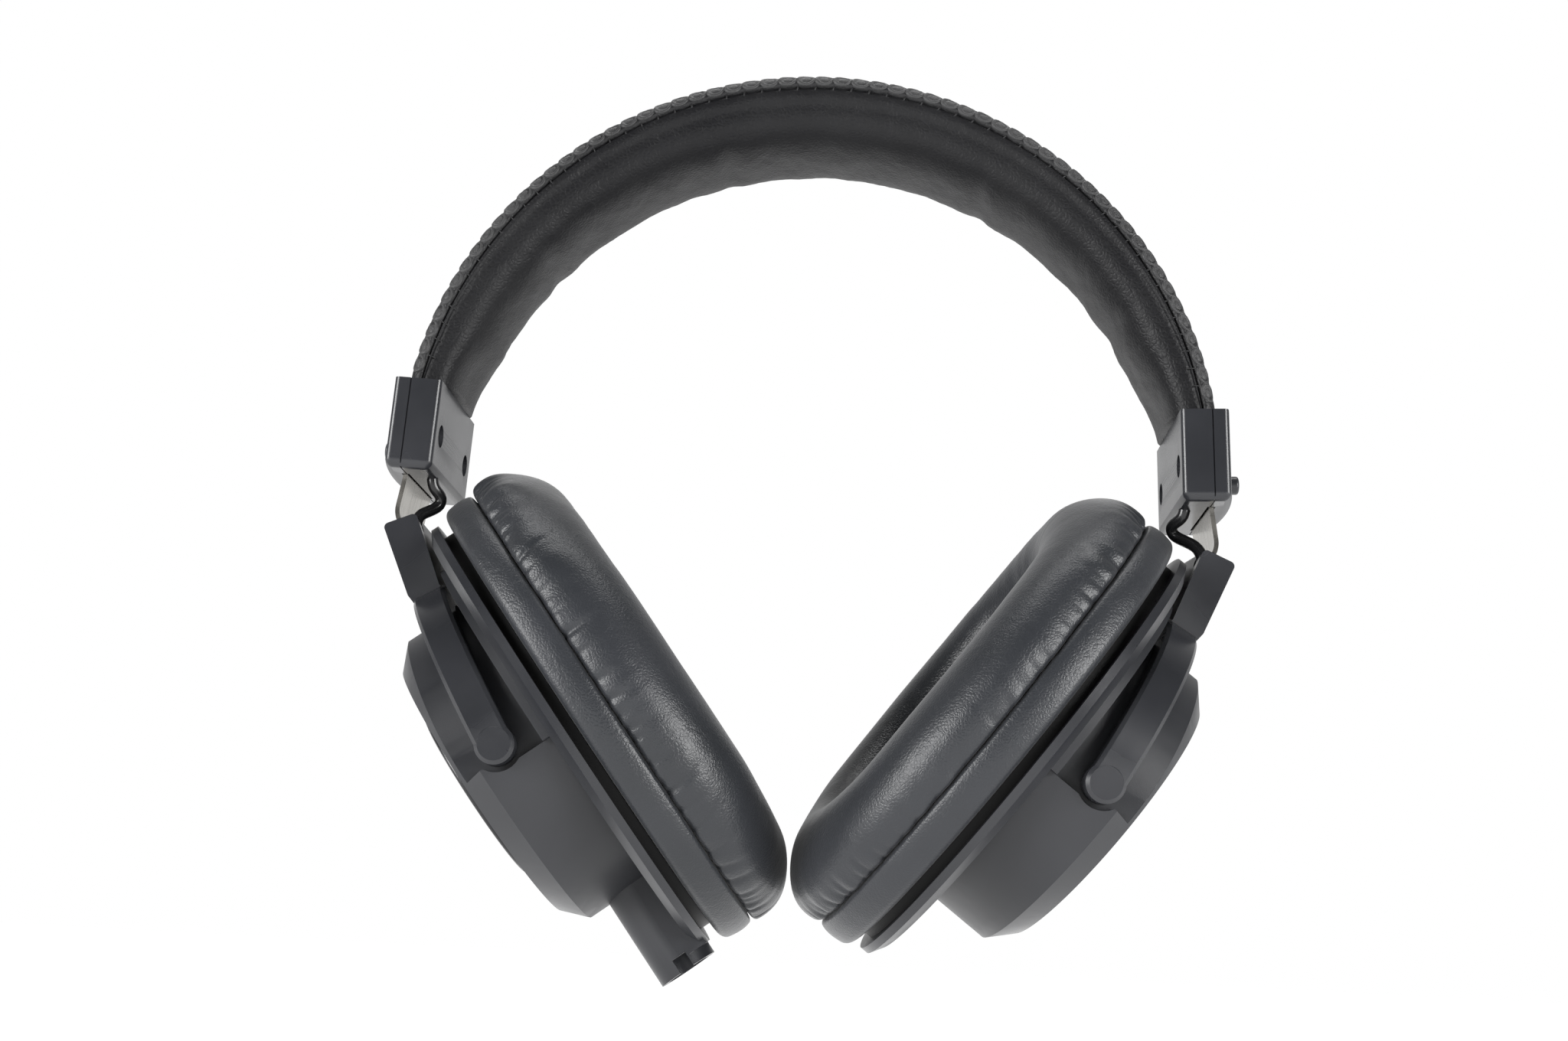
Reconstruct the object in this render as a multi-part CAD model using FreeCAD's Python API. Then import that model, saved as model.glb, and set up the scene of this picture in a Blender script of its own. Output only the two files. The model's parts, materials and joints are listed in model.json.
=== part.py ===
import FreeCAD, Part
import math
import os
from FreeCAD import Vector

# Over ear headphones, millimetres and degrees. The origin is on the underside of the headband pad,
# at the top of the arc and the middle of its depth. +Y is depth, the way the wearer faces, +Z is up,
# and +X is the wearer's right. Shapes are made for the right side and mirrored for the left.

# Headband: an arc about a centre band_rise below the origin
band_radius = 83.0
band_rise = 67.0
band_depth = 30.0
band_edge_thickness = 12.7
pad_crown = 3.3
pad_centre_drop = 4.3
cover_thickness = 1.1
cover_lip = 3.2
skin_thickness = 0.9
spring_radius = 80.9
spring_thickness = 0.8
spring_width = 16.0
spring_in_block = 7.0
lead_radius = 1.1
lead_arc_radius = 77.3
lead_y = -8.0

# End block: a two-part shell that closes the headband and guides the slider
block_top_x = 78.7
block_top_rise = 13.25
block_lean = 2.4
block_thickness = 9.4
block_depth = 37.7
block_height = 18.5
block_arch = 2.0
block_edge = 1.1
block_low_edge = 1.7
groove_half = 0.13
groove_depth = 0.3
block_seam = 1.55
screw_spread = 13.2
screw_drop = 10.45
screw_recess_radius = 2.3
screw_recess_depth = 2.2
screw_shank_radius = 1.0
screw_head_depth = 1.3
screw_reach = 2.2
rivet_radius = 1.9
rivet_height = 2.6
rivet_shank_radius = 0.9
rivet_drop = 11.5

# Slider: a flat steel strip that runs straight through the block and bends in at the yoke
strip_exit_x = 81.3
strip_lean = 9.0
strip_thickness = 0.9
strip_width = 23.5
strip_above_exit = 29.0
strip_below_exit = 6.5
strip_bend_radius = 5.0
tongue_width = 8.0
tongue_length = 6.0
tongue_slot_half = 1.9
tongue_slot_gap = 0.6
detent_pitch = 2.5
detent_count = 8
detent_first = 9.0
detent_y = 5.6
detent_leaf_out = -1.35
detent_leaf_thickness = 0.3
detent_leaf_width = 4.2
detent_leaf_span = (3.0, 13.0)
detent_bump_radius = 0.75
channel_gap = 0.35

# Yoke: a half ring around the cup, with a root block at its crown
root_lean = 23.0
root_gap = 0.4
root_length = 15.6
root_half_top = 3.5
root_half_bottom = 3.3
root_half_depth = 13.0
root_edge = 1.0
root_foot_inset = 0.2
root_foot_sink = 1.6
ring_inner_radius = 34.9
ring_outer_radius = 40.0
ring_half_width = 3.45
ring_tilt = 31.4
tip_radius = 3.8
bevel = 0.7
pin_radius = 1.6
pin_inner_y = 28.5
pin_outer_y = 38.2
pin_boss_radius = 3.6
running_clearance = 0.05
stud_radius = 1.5
stud_length = 9.0

# Cup: measured along its own axis, outward positive, from the front face of the flange
cup_x = 45.2
cup_rise = -54.55
cup_tilt = 36.8
pivot_out = 12.4
flange_half = (50.3, 41.6)
flange_rim = 1.6
flange_thickness = 3.1
flange_bevel = 2.6
drum_half = (33.3, 37.4)
drum_wall_out = 17.4
drum_face_out = 21.6
drum_chamfer = 4.5
cavity_half = (30.6, 31.2)
cavity_out = 18.6
pocket_radius = 33.7
pocket_floor_s = -4.4
pocket_outer_floor_s = -2.4
pocket_lip_out = 4.4
tip_gap = 1.2
ledge_half = (41.9, 38.8)
ledge_out = 4.6
plate_radius = 19.0
plate_out = 23.4
plate_inlay = 2.4
baffle_half = (47.5, 38.8)
baffle_thickness = 1.95
baffle_screw_inset = 6.8
baffle_screw_angles = (42, 138, 222, 318)
baffle_screw_shank = 0.9
baffle_screw_head = 2.0
baffle_screw_head_depth = 1.0
baffle_screw_reach = 2.4
driver_hole_radius = 20.0
driver_rim_radius = 21.5
driver_web_out = 1.5
driver_back = 3.5
driver_vents = 6
driver_vent_circle = 14.5
driver_vent_radius = 3.0
pot_radius = 9.5
pot_wall = 1.5
pot_back = 7.2
magnet_radius = 6.5
magnet_front = 3.0
magnet_back = 5.8
pole_radius = 6.9
pole_front = 1.9
coil_outer_radius = 7.7
coil_inner_radius = 7.3
coil_back = 3.8
film_out = 0.6
film_thickness = 0.3
dome_radius = 7.9
dome_rise = 1.6
grille_radius = 20.6
grille_thickness = 0.8
grille_rings = 4
grille_pitch = 4.2
grille_hole_radius = 1.2
cloth_thickness = 0.5
board_thickness = 1.0
board_side = 8.0
board_y = 11.5
felt_radius = 24.0
felt_thickness = 2.0

# Ear pad, along the same axis
pad_half = (52.0, 42.5)
pad_opening_half = (30.0, 21.0)
pad_front = -25.0
pad_outer_round = 11.0
pad_inner_round = 8.0
pad_skin = 0.8
pad_gap = 0.35

# Cable boss under the left housing, with the socket along it
boss_radius = 6.15
boss_out = 6.6
boss_start = -29.0
boss_end = -52.8
boss_web_in = 0.6
boss_web_end = -50.6
socket_recess_radius = 4.6
socket_recess_end = -44.0
socket_bore_radius = 1.8
socket_end = -31.0

# Rest pose: how far each yoke is swivelled about its root axis, and how far it may go either way
swivel_at_rest = {"left": 1.5, "right": 5.5}
swivel_limit = 10.0

# The lead's route from the block to the yoke, as points (x, y, rise above the arc's centre)
lead_start_drop = 3.5
lead_slack = {
    "left": [(76.6, -8.0, -7.2), (74.6, -6.4, -8.2), (74.9, -5.8, -10.4), (77.0, -7.7, -12.0)],
    "right": [(76.6, -8.0, -7.2), (73.9, -5.4, -7.7), (74.7, -3.8, -9.9), (77.7, -6.7, -11.45)],
}
lead_slack_gap = 0.6
corner_share = 0.45
lead_in_root = [(79.2, -9.6, -13.5), (78.9, -10.0, -16.6)]

screw_seat = screw_recess_depth - block_thickness / 2
screw_end = block_seam + screw_reach
arc_centre = Vector(0, 0, -band_rise)
Y_AXIS = Vector(0, 1, 0)
ROUND = 0.01


def level(rise):
    """The height of a point that is given above the arc's centre."""
    return rise - band_rise


def from_arc_centre(point):
    """A point (x, y, rise above the arc's centre) in the part's frame."""
    return Vector(point[0], point[1], level(point[2]))


def leaning(angle):
    """Unit vectors up and outward along a piece whose top leans outward by the angle."""
    a = math.radians(angle)
    return Vector(math.sin(a), 0, math.cos(a)), Vector(math.cos(a), 0, -math.sin(a))


root_up, root_out = leaning(root_lean)
cup_up, cup_out = leaning(cup_tilt)
cup_centre = Vector(cup_x, 0, level(cup_rise))
pivot = cup_centre + cup_out * pivot_out
slide_up, slide_out = leaning(-strip_lean)
strip_exit = Vector(strip_exit_x, 0, level(block_top_rise - block_height))
bend_centre = strip_exit - slide_up * strip_below_exit - slide_out * strip_bend_radius
tongue_start = bend_centre + root_out * strip_bend_radius
root_top = tongue_start - root_up * root_gap


def placed(shape, tilt, at):
    """A shape from a local frame (X outward, Z up) at its place on the right-hand side."""
    moved = shape.copy()
    moved.rotate(Vector(0, 0, 0), Y_AXIS, tilt)
    moved.translate(at)
    return moved


def in_block(shape):
    return placed(shape, -block_lean, Vector(block_top_x, 0, level(block_top_rise)))


def in_cup(shape):
    return placed(shape, cup_tilt, cup_centre)


def in_yoke(shape):
    return placed(shape, ring_tilt, pivot)


def in_slider(shape):
    return placed(shape, -strip_lean, strip_exit)


def box(x0, x1, y0, y1, z0, z1):
    return Part.makeBox(x1 - x0, y1 - y0, z1 - z0, Vector(x0, y0, z0))


def rod(radius, start, end):
    """A cylinder between two points."""
    axis = end - start
    return Part.makeCylinder(radius, axis.Length, start, axis)


def drum(radius, out0, out1):
    """A disc about the cup's axis, in the cup's frame."""
    return rod(radius, Vector(out0, 0, 0), Vector(out1, 0, 0))


def oval_wire(half, out):
    """An ellipse across the cup's axis: half is its half height and half depth."""
    tall, deep = Vector(out, 0, half[0]), Vector(out, half[1], 0)
    ends = (tall, deep) if half[0] >= half[1] else (deep, tall)
    return Part.Wire(Part.Ellipse(ends[0], ends[1], Vector(out, 0, 0)).toShape())


def oval(half, out0, out1):
    return Part.Face(oval_wire(half, out0)).extrude(Vector(out1 - out0, 0, 0))


def oval_taper(half0, out0, half1, out1):
    return Part.makeLoft([oval_wire(half0, out0), oval_wire(half1, out1)], True, True)


def inset(half, by):
    return (half[0] - by, half[1] - by)


def swept_arc(points):
    """A closed outline of (radius, y) points turned half round about the headband's centre."""
    corners = [Vector(r, y, arc_centre.z) for r, y in points]
    face = Part.Face(Part.makePolygon(corners + corners[:1]))
    return face.revolve(arc_centre, Vector(0, -1, 0), 180)


def swept_box(r0, r1, y0, y1):
    return swept_arc([(r0, y0), (r1, y0), (r1, y1), (r0, y1)])


def one_solid(shape):
    """The largest solid of a boolean result, with its split faces merged."""
    solid = max(shape.Solids, key=lambda s: s.Volume)
    return solid.removeSplitter()


def rounded(shape, radius, chosen):
    """The shape with a fillet on each edge that the test picks."""
    return shape.makeFillet(radius, [e for e in shape.Edges if chosen(e)])


def both_ends(shape, cutter):
    """The shape with a right-hand cutter and its mirror image taken out."""
    return shape.cut(cutter).cut(mirrored(cutter))


def mirrored(shape):
    return shape.mirror(Vector(0, 0, 0), Vector(1, 0, 0))


# ---------------------------------------------------------------- headband

def below_block_top(drop=0.0):
    """Everything under a plane that is drop below the block's top."""
    return in_block(box(-70, 60, -40, 40, -160, -drop))


def crown_core(extra):
    """The space under the headband pad: a barrel whose middle is narrower than its ends."""
    edge = band_radius - band_edge_thickness + pad_centre_drop + extra
    middle = edge - pad_crown
    half = band_depth / 2
    centre = Vector(0, 0, arc_centre.z - pad_centre_drop)
    wide = half + 5
    at = lambda r, y: Vector(r, y, centre.z)
    arc = Part.Arc(at(edge, -half), at(middle, 0), at(edge, half)).toShape()
    lines = [Part.makePolygon([at(edge, half), at(edge, wide), at(0, wide)]),
             Part.makePolygon([at(0, wide), at(0, -wide), at(edge, -wide), at(edge, -half)])]
    edges = [arc] + lines[0].Edges + lines[1].Edges
    return Part.Face(Part.Wire(Part.__sortEdges__(edges))).revolve(centre, Y_AXIS, 360)


def headband_cover():
    half, inner = band_depth / 2, band_radius - cover_thickness
    lip = band_radius - cover_lip
    shoulder = 0.8
    side = half - skin_thickness
    channel = swept_arc([
        (lip, -half), (band_radius - shoulder, -half), (band_radius, shoulder - half),
        (band_radius, half - shoulder), (band_radius - shoulder, half), (lip, half),
        (lip, side), (inner, side), (inner, -side), (lip, -side)])
    return both_ends(channel, below_block_top())


def headband_spring():
    outer = spring_radius + spring_thickness
    strip = swept_box(spring_radius, outer, -spring_width / 2, spring_width / 2)
    return both_ends(strip, below_block_top(spring_in_block))


def strip_space(gap):
    """The straight slot that the slider needs, in the block and in the end of the headband."""
    half = strip_thickness / 2 + gap
    wide = strip_width / 2 + gap
    return in_slider(box(-half, half, -wide, wide, -5, strip_above_exit + 1.0))


def lead_channel(radius):
    ring = Part.makeTorus(lead_arc_radius, radius, Vector(0, lead_y, arc_centre.z), Y_AXIS)
    return ring.common(box(-100, 100, -40, 40, level(0), level(100)))


def headband_foam():
    half = band_depth / 2 - skin_thickness - 0.1
    body = swept_box(40, spring_radius, -half, half).cut(crown_core(skin_thickness))
    body = both_ends(body, below_block_top())
    body = both_ends(body, strip_space(channel_gap))
    return one_solid(body.cut(lead_channel(lead_radius)))


def headband_skin():
    half, side = band_depth / 2 - 0.05, band_depth / 2 - skin_thickness
    outer_radius = band_radius - cover_lip - 0.05
    envelope = swept_box(40, outer_radius, -half, half).cut(crown_core(0))
    inside = swept_box(40, outer_radius + 1, -side, side).cut(crown_core(skin_thickness))
    return one_solid(both_ends(envelope.cut(inside), below_block_top()))


def headband_lead():
    return both_ends(lead_channel(lead_radius), below_block_top(lead_start_drop - 0.5))


# ---------------------------------------------------------------- end block

def block_outline():
    """The whole block in its own frame: a box whose outer face is arched across its depth."""
    half, deep = block_thickness / 2, block_depth / 2
    corner = [Vector(half, deep, 0), Vector(-half, deep, 0), Vector(-half, -deep, 0), Vector(half, -deep, 0)]
    arch = Part.Arc(corner[3], Vector(half + block_arch, 0, 0), corner[0]).toShape()
    sides = Part.makePolygon(corner).Edges
    face = Part.Face(Part.Wire(sides + [arch]))
    body = face.extrude(Vector(0, 0, -block_height))
    upright = lambda e: abs(e.BoundBox.ZLength - block_height) < ROUND
    body = rounded(body, block_edge, upright)
    low = lambda e: e.BoundBox.ZMax < ROUND - block_height
    return rounded(body, block_low_edge, low)


def screw_axis(y, out0, out1):
    return Vector(out0, y, -screw_drop), Vector(out1, y, -screw_drop)


def block_screw(y):
    """A recessed cross-head screw from the inner face into the outer shell."""
    head = rod(screw_recess_radius - 0.3, *screw_axis(y, screw_seat - screw_head_depth, screw_seat))
    shank = rod(screw_shank_radius, *screw_axis(y, screw_seat, screw_end))
    top, floor = screw_seat - screw_head_depth - 0.1, screw_seat - 0.8
    cross = box(top, floor, y - 0.25, y + 0.25, -screw_drop - 1.2, -screw_drop + 1.2)
    bar = box(top, floor, y - 1.2, y + 1.2, -screw_drop - 0.25, -screw_drop + 0.25)
    return head.fuse(shank).cut(cross).cut(bar)


def block_screws():
    return Part.makeCompound([block_screw(y) for y in (-screw_spread, screw_spread)])


def block_cut():
    """The strip's channel, the spring's pocket, the lead's way and the screw holes."""
    spring_half = spring_width / 2 + 0.1
    pocket = swept_box(spring_radius - 0.1, spring_radius + spring_thickness + 0.1, -spring_half, spring_half)
    spring_room = pocket.cut(below_block_top(spring_in_block + 0.1))
    lead_start, lead_end = lead_points("right")[:2]
    lead_end = lead_end + (lead_end - lead_start) * 0.3
    tools = [strip_space(channel_gap), spring_room, rod(lead_radius, lead_start, lead_end),
             lead_channel(lead_radius).cut(below_block_top(lead_start_drop))]
    for y in (-screw_spread, screw_spread):
        tools.append(in_block(rod(screw_recess_radius, *screw_axis(y, screw_seat - 5, screw_seat))))
        tools.append(in_block(rod(screw_shank_radius, *screw_axis(y, screw_seat, screw_end))))
    low, high = detent_leaf_span
    far = detent_y + detent_leaf_width + 0.4
    inward = detent_leaf_out - detent_leaf_thickness - 0.1
    tools.append(in_slider(box(inward, -0.7, detent_y - 0.4, far, low - 0.5, high + 0.5)))
    return tools


def seam_groove():
    """The fine groove round the block where its two shells meet."""
    deep, low = block_depth / 2 - groove_depth, groove_depth - block_height
    near, far = block_seam - groove_half, block_seam + groove_half
    slit = box(near, far, -block_depth, block_depth, -2 * block_height, 5)
    return slit.cut(box(block_seam - 1, block_seam + 1, -deep, deep, low, 6))


def block_half(outer):
    body = block_outline()
    far = 20
    half = box(block_seam, far, -far, far, -far, far)
    if not outer:
        half = box(-far, block_seam, -far, far, -far, far)
    body = in_block(body.common(half).cut(seam_groove()))
    for tool in block_cut():
        body = body.cut(tool)
    if outer:
        body = body.cut(in_block(rivet_shank()))
    return one_solid(body)


def rivet_shank():
    face = block_thickness / 2 + block_arch
    return rod(rivet_shank_radius, Vector(face - 1.6, 0, -rivet_drop), Vector(face + 0.4, 0, -rivet_drop))


def block_rivet():
    """A small round head on the middle of the outer face."""
    face = block_thickness / 2 + block_arch
    seat = Vector(face, 0, -rivet_drop)
    head = Part.makeCylinder(rivet_radius, rivet_height, seat, Vector(1, 0, 0))
    head = rounded(head, 0.6, lambda e: e.BoundBox.XMin > face + rivet_height - ROUND)
    return head.fuse(rivet_shank()).cut(block_outline().cut(rivet_shank()))


def detent_spring():
    """A flat leaf beside the strip, with a round bump that drops into the strip's row of slots."""
    face = detent_leaf_out
    leaf = box(face - detent_leaf_thickness, face, detent_y, detent_y + detent_leaf_width, *detent_leaf_span)
    middle = sum(detent_leaf_span) / 2
    bump = Part.makeCylinder(detent_bump_radius, 3.0, Vector(face, detent_y + 0.6, middle), Y_AXIS)
    return leaf.fuse(bump.common(box(face, 0, 0, 20, 0, 20)))


# ---------------------------------------------------------------- slider

def slider_strip():
    """The flat strip, its bend and the narrow tongue that enters the yoke's root."""
    half, thick = strip_width / 2, strip_thickness / 2
    flat = box(-thick, thick, -half, half, -strip_below_exit, strip_above_exit)
    for i in range(detent_count):
        z = strip_above_exit - detent_first - i * detent_pitch
        flat = flat.cut(box(-1, 1, detent_y + 0.3, detent_y + 3.9, z - 0.5, z + 0.5))
    flat = in_slider(flat)
    turn = strip_lean + root_lean
    inner = bend_centre + slide_out * (strip_bend_radius - thick)
    outer = bend_centre + slide_out * (strip_bend_radius + thick)
    section = Part.makePolygon([inner - Y_AXIS * half, outer - Y_AXIS * half, outer + Y_AXIS * half,
                                inner + Y_AXIS * half, inner - Y_AXIS * half])
    bend = Part.Face(section).revolve(bend_centre, Y_AXIS, turn)
    tongue = box(-thick, thick, -tongue_width / 2, tongue_width / 2, -tongue_length, 0)
    return flat.fuse(bend).fuse(placed(tongue, root_lean, tongue_start)).removeSplitter()


def swivel_stud():
    """A turned stud, slotted to grip the tongue, that turns in the yoke's root."""
    grip = 3.0
    top = grip - tongue_length
    body = rod(stud_radius, Vector(0, 0, top - stud_length), Vector(0, 0, top))
    slot = box(-strip_thickness / 2, strip_thickness / 2, -tongue_width, tongue_width, -tongue_length, 1)
    return placed(body.cut(slot), root_lean, tongue_start)


# ---------------------------------------------------------------- yoke

def yoke_root():
    """The tapered block at the yoke's crown, as a prism across the depth."""
    ring_up, ring_out = leaning(ring_tilt)
    half_foot = ring_half_width - root_foot_inset
    foot = pivot + ring_up * (ring_inner_radius + root_foot_sink)
    low = root_top - root_up * root_length
    outline = [root_top + root_out * root_half_top, root_top - root_out * root_half_top,
               low - root_out * root_half_bottom, foot - ring_out * half_foot, foot + ring_out * half_foot,
               low + root_out * root_half_bottom]
    corners = [p - Y_AXIS * root_half_depth for p in outline]
    prism = Part.Face(Part.makePolygon(corners + corners[:1])).extrude(Y_AXIS * 2 * root_half_depth)
    top = root_top.z - root_half_top * math.sin(math.radians(root_lean)) - 2 * ROUND
    along = lambda e: e.BoundBox.YLength > 2 * root_half_depth - ROUND and e.BoundBox.ZMin > top
    return rounded(prism, root_edge, along)


def yoke_ring():
    """The half ring and its two round tips, with bevelled outer edges."""
    half, outer, inner = ring_half_width, ring_outer_radius, ring_inner_radius
    points = [(-half, inner), (half, inner), (half, outer - bevel), (half - bevel, outer),
              (bevel - half, outer), (-half, outer - bevel)]
    corners = [Vector(out, r, 0) for out, r in points]
    face = Part.Face(Part.makePolygon(corners + corners[:1]))
    ring = face.revolve(Vector(0, 0, 0), Vector(1, 0, 0), 180)
    for side in (-1, 1):
        tip = rod(tip_radius, Vector(0, side * inner, 0), Vector(0, side * (outer - bevel), 0))
        cap_at = Vector(0, side * (outer - bevel), 0)
        cap = Part.makeCone(tip_radius, tip_radius - bevel, bevel, cap_at, Y_AXIS * side)
        ring = ring.fuse(tip).fuse(cap)
    return ring


def yoke():
    body = in_yoke(yoke_ring()).fuse(yoke_root())
    wide, deep = tongue_width / 2 + tongue_slot_gap, tongue_length + root_gap
    slot = box(-tongue_slot_half, tongue_slot_half, -wide, wide, -deep, 8)
    bore_depth = tongue_length + stud_length
    bore = rod(stud_radius + running_clearance, Vector(0, 0, -bore_depth), Vector(0, 0, 8))
    body = body.cut(placed(slot, root_lean, tongue_start)).cut(placed(bore, root_lean, tongue_start))
    mouth, end = [from_arc_centre(p) for p in lead_in_root]
    above, below = mouth + (mouth - end), end + (end - mouth) * 0.1
    body = body.cut(rod(lead_radius + lead_slack_gap, above, below))
    for side in (-1, 1):
        body = body.cut(pivot_pin(side))
    return one_solid(body)


def pivot_pin(side):
    return in_yoke(rod(pin_radius, Vector(0, side * pin_inner_y, 0), Vector(0, side * pin_outer_y, 0)))


def pivot_pins():
    return Part.makeCompound([pivot_pin(side) for side in (-1, 1)])


# ---------------------------------------------------------------- lead from block to yoke

def lead_points(side):
    """The lead's route: down through the block, a slack bend and into the turned yoke's root."""
    top_rise = block_top_rise - lead_start_drop
    x = math.sqrt(lead_arc_radius ** 2 - top_rise ** 2)
    points = [from_arc_centre((x, lead_y, top_rise))]
    points += [from_arc_centre(p) for p in lead_slack[side]]
    turn = swivel_at_rest[side] * (1 if side == "right" else -1)
    for p in lead_in_root:
        end = Part.Vertex(from_arc_centre(p))
        end.rotate(root_top, root_up, turn)
        points.append(end.Point)
    return points


def tube(points, radius):
    """A round tube along straight runs joined by tangent arcs."""
    edges, last = [], points[0]
    for before, at, after in zip(points, points[1:], points[2:]):
        into, away = (at - before), (after - at)
        half_turn = into.getAngle(away) / 2
        setback = corner_share * min(into.Length, away.Length)
        a, b = at - into.normalize() * setback, at + away.normalize() * setback
        middle_way = (a + b) * 0.5 - at
        centre = at + middle_way.normalize() * (setback / math.sin(half_turn))
        edges.append(Part.LineSegment(last, a).toShape())
        top_of_bend = centre + (at - centre).normalize() * (setback / math.tan(half_turn))
        edges.append(Part.Arc(a, top_of_bend, b).toShape())
        last = b
    edges.append(Part.LineSegment(last, points[-1]).toShape())
    path = Part.Wire(edges)
    section = Part.Wire(Part.Circle(points[0], points[1] - points[0], radius).toShape())
    return path.makePipeShell([section], True, False)


def lead(side):
    return tube(lead_points(side), lead_radius)


# ---------------------------------------------------------------- ear cup

def oval_angle_point(half, angle, out):
    a = math.radians(angle)
    return Vector(out, half[1] * math.sin(a), half[0] * math.cos(a))


def baffle_screw_points(out):
    return [oval_angle_point(inset(flange_half, baffle_screw_inset), a, out) for a in baffle_screw_angles]


def socket_axis(s):
    return Vector(boss_out, 0, s)


def housing(side):
    """The rear shell: an oval flange, a short drum with a bevelled edge and pockets for the yoke's tips."""
    rim = oval(flange_half, 0, flange_rim)
    back = oval_taper(flange_half, flange_rim, inset(flange_half, flange_bevel), flange_thickness)
    wall = oval(drum_half, flange_thickness - 1, drum_wall_out)
    crown = oval_taper(drum_half, drum_wall_out, inset(drum_half, drum_chamfer), drum_face_out)
    body = rim.fuse(back).fuse(wall).fuse(crown)
    reach = 60
    inner_floor = box(pocket_lip_out, pivot_out + 1, -reach, reach, pocket_floor_s, reach)
    outer_floor = box(pivot_out, reach, -reach, reach, pocket_outer_floor_s, reach)
    around_tips = rod(tip_radius + tip_gap, Vector(pivot_out, -reach, 0), Vector(pivot_out, reach, 0))
    outside = inner_floor.fuse(outer_floor).fuse(around_tips).cut(drum(pocket_radius, 0, reach))
    body = body.cut(outside)
    ledge = oval(ledge_half, flange_thickness - 1, ledge_out)
    body = body.fuse(ledge.common(box(0, reach, -reach, reach, pocket_floor_s, reach)))
    if side == "left":
        body = body.fuse(rod(boss_radius, socket_axis(boss_start), socket_axis(boss_end)))
        body = body.fuse(box(boss_web_in, boss_out, -boss_radius, boss_radius, boss_web_end, boss_start))
    body = body.cut(oval(cavity_half, -1, cavity_out))
    for s in (-1, 1):
        along = lambda y: Vector(pivot_out, s * y, 0)
        boss = rod(pin_boss_radius, along(pin_inner_y - 1.5), along(pocket_radius - 1))
        bore = rod(pin_radius + running_clearance, along(pin_inner_y - 1), along(45))
        body = body.fuse(boss.common(drum(pocket_radius, 0, drum_wall_out))).cut(bore)
    for p in baffle_screw_points(0):
        body = body.cut(rod(baffle_screw_shank, p, p + Vector(baffle_screw_reach, 0, 0)))
    body = body.cut(drum(plate_radius + running_clearance, plate_out - plate_inlay, reach))
    if side == "left":
        body = body.cut(rod(socket_recess_radius, socket_axis(socket_recess_end), socket_axis(boss_end - 5)))
        body = body.cut(rod(socket_recess_radius - 1.0, socket_axis(socket_recess_end), socket_axis(-20)))
        notch = box(boss_out - 1.5, boss_out + 1.5, -boss_radius - 1, 0, boss_end - 1, boss_end + 3.0)
        body = body.cut(notch)
    return one_solid(body)


def cover_plate():
    """The round plate let into the middle of the housing's outer face."""
    plate = drum(plate_radius, plate_out - plate_inlay, plate_out)
    return rounded(plate, 0.7, lambda e: e.BoundBox.XMin > plate_out - ROUND)


def socket():
    """The cable socket in the boss, with its round bore along the boss."""
    outer = rod(socket_recess_radius - 1.0, socket_axis(socket_recess_end), socket_axis(socket_end))
    bore = rod(socket_bore_radius, socket_axis(socket_recess_end - 1), socket_axis(socket_end + 1.0))
    return outer.cut(bore)


def socket_contact():
    """The tip contact, a small block at the blind end of the socket."""
    return rod(1.2, socket_axis(socket_end), socket_axis(socket_end + 1.6))


def baffle():
    body = oval(baffle_half, -baffle_thickness, 0).cut(drum(driver_hole_radius, -5, 5))
    for p in baffle_screw_points(0):
        head = Vector(-baffle_thickness, p.y, p.z)
        seat = rod(baffle_screw_head + 0.1, head - Vector(1, 0, 0), head + Vector(baffle_screw_head_depth, 0, 0))
        body = body.cut(rod(baffle_screw_shank, head, p + Vector(1, 0, 0))).cut(seat)
    return body


def baffle_screws():
    screws = []
    for p in baffle_screw_points(-baffle_thickness):
        under = p + Vector(baffle_screw_head_depth, 0, 0)
        slot = box(p.x - 1, p.x + 0.4, p.y - 0.25, p.y + 0.25, p.z - 1.3, p.z + 1.3)
        tip = p + Vector(baffle_thickness + baffle_screw_reach, 0, 0)
        screws.append(rod(baffle_screw_head, p, under).cut(slot).fuse(rod(baffle_screw_shank, under, tip)))
    return Part.makeCompound(screws)


def pad_body(shrink):
    """The oval cushion, rounded at its front edges. shrink gives the foam inside the cover."""
    back, front = -baffle_thickness - shrink, pad_front + shrink
    opening = oval(inset(pad_opening_half, -shrink), back + 1, front - 1)
    ring = oval(inset(pad_half, shrink), back, front).cut(opening)
    front_edge = lambda e: e.BoundBox.XMax < front + ROUND
    outer = lambda e: front_edge(e) and e.BoundBox.ZLength > 90
    inner = lambda e: front_edge(e) and e.BoundBox.ZLength < 90
    ring = rounded(ring, pad_outer_round - shrink, outer)
    return rounded(ring, pad_inner_round - shrink, inner)


def pad_side_space(shrink):
    """The half space that a cup keeps to at every swivel angle, taken from both pads."""
    walls = None
    for step in range(5):
        wall = box(-200, pad_gap + shrink, -100, 100, -300, 100)
        wall.rotate(root_top, root_up, swivel_limit * (step - 2) / 2)
        walls = wall if walls is None else walls.fuse(wall)
    return walls


def pad_cover():
    outer = in_cup(pad_body(0)).cut(pad_side_space(0))
    return one_solid(outer.cut(pad_foam()))


def pad_foam():
    return one_solid(in_cup(pad_body(pad_skin)).cut(pad_side_space(pad_skin)))


def driver_frame():
    """A ring with a flat web that carries the magnet pot behind the baffle."""
    front_recess = drum(driver_hole_radius, -1, driver_web_out)
    rim = drum(driver_rim_radius, 0, driver_back).cut(front_recess).cut(drum(pot_radius, -1, driver_back + 1))
    for i in range(driver_vents):
        a = 2 * math.pi * (i + 0.5) / driver_vents
        centre = Vector(1.0, driver_vent_circle * math.sin(a), driver_vent_circle * math.cos(a))
        rim = rim.cut(rod(driver_vent_radius, centre, centre + Vector(driver_back, 0, 0)))
    return rim


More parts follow.
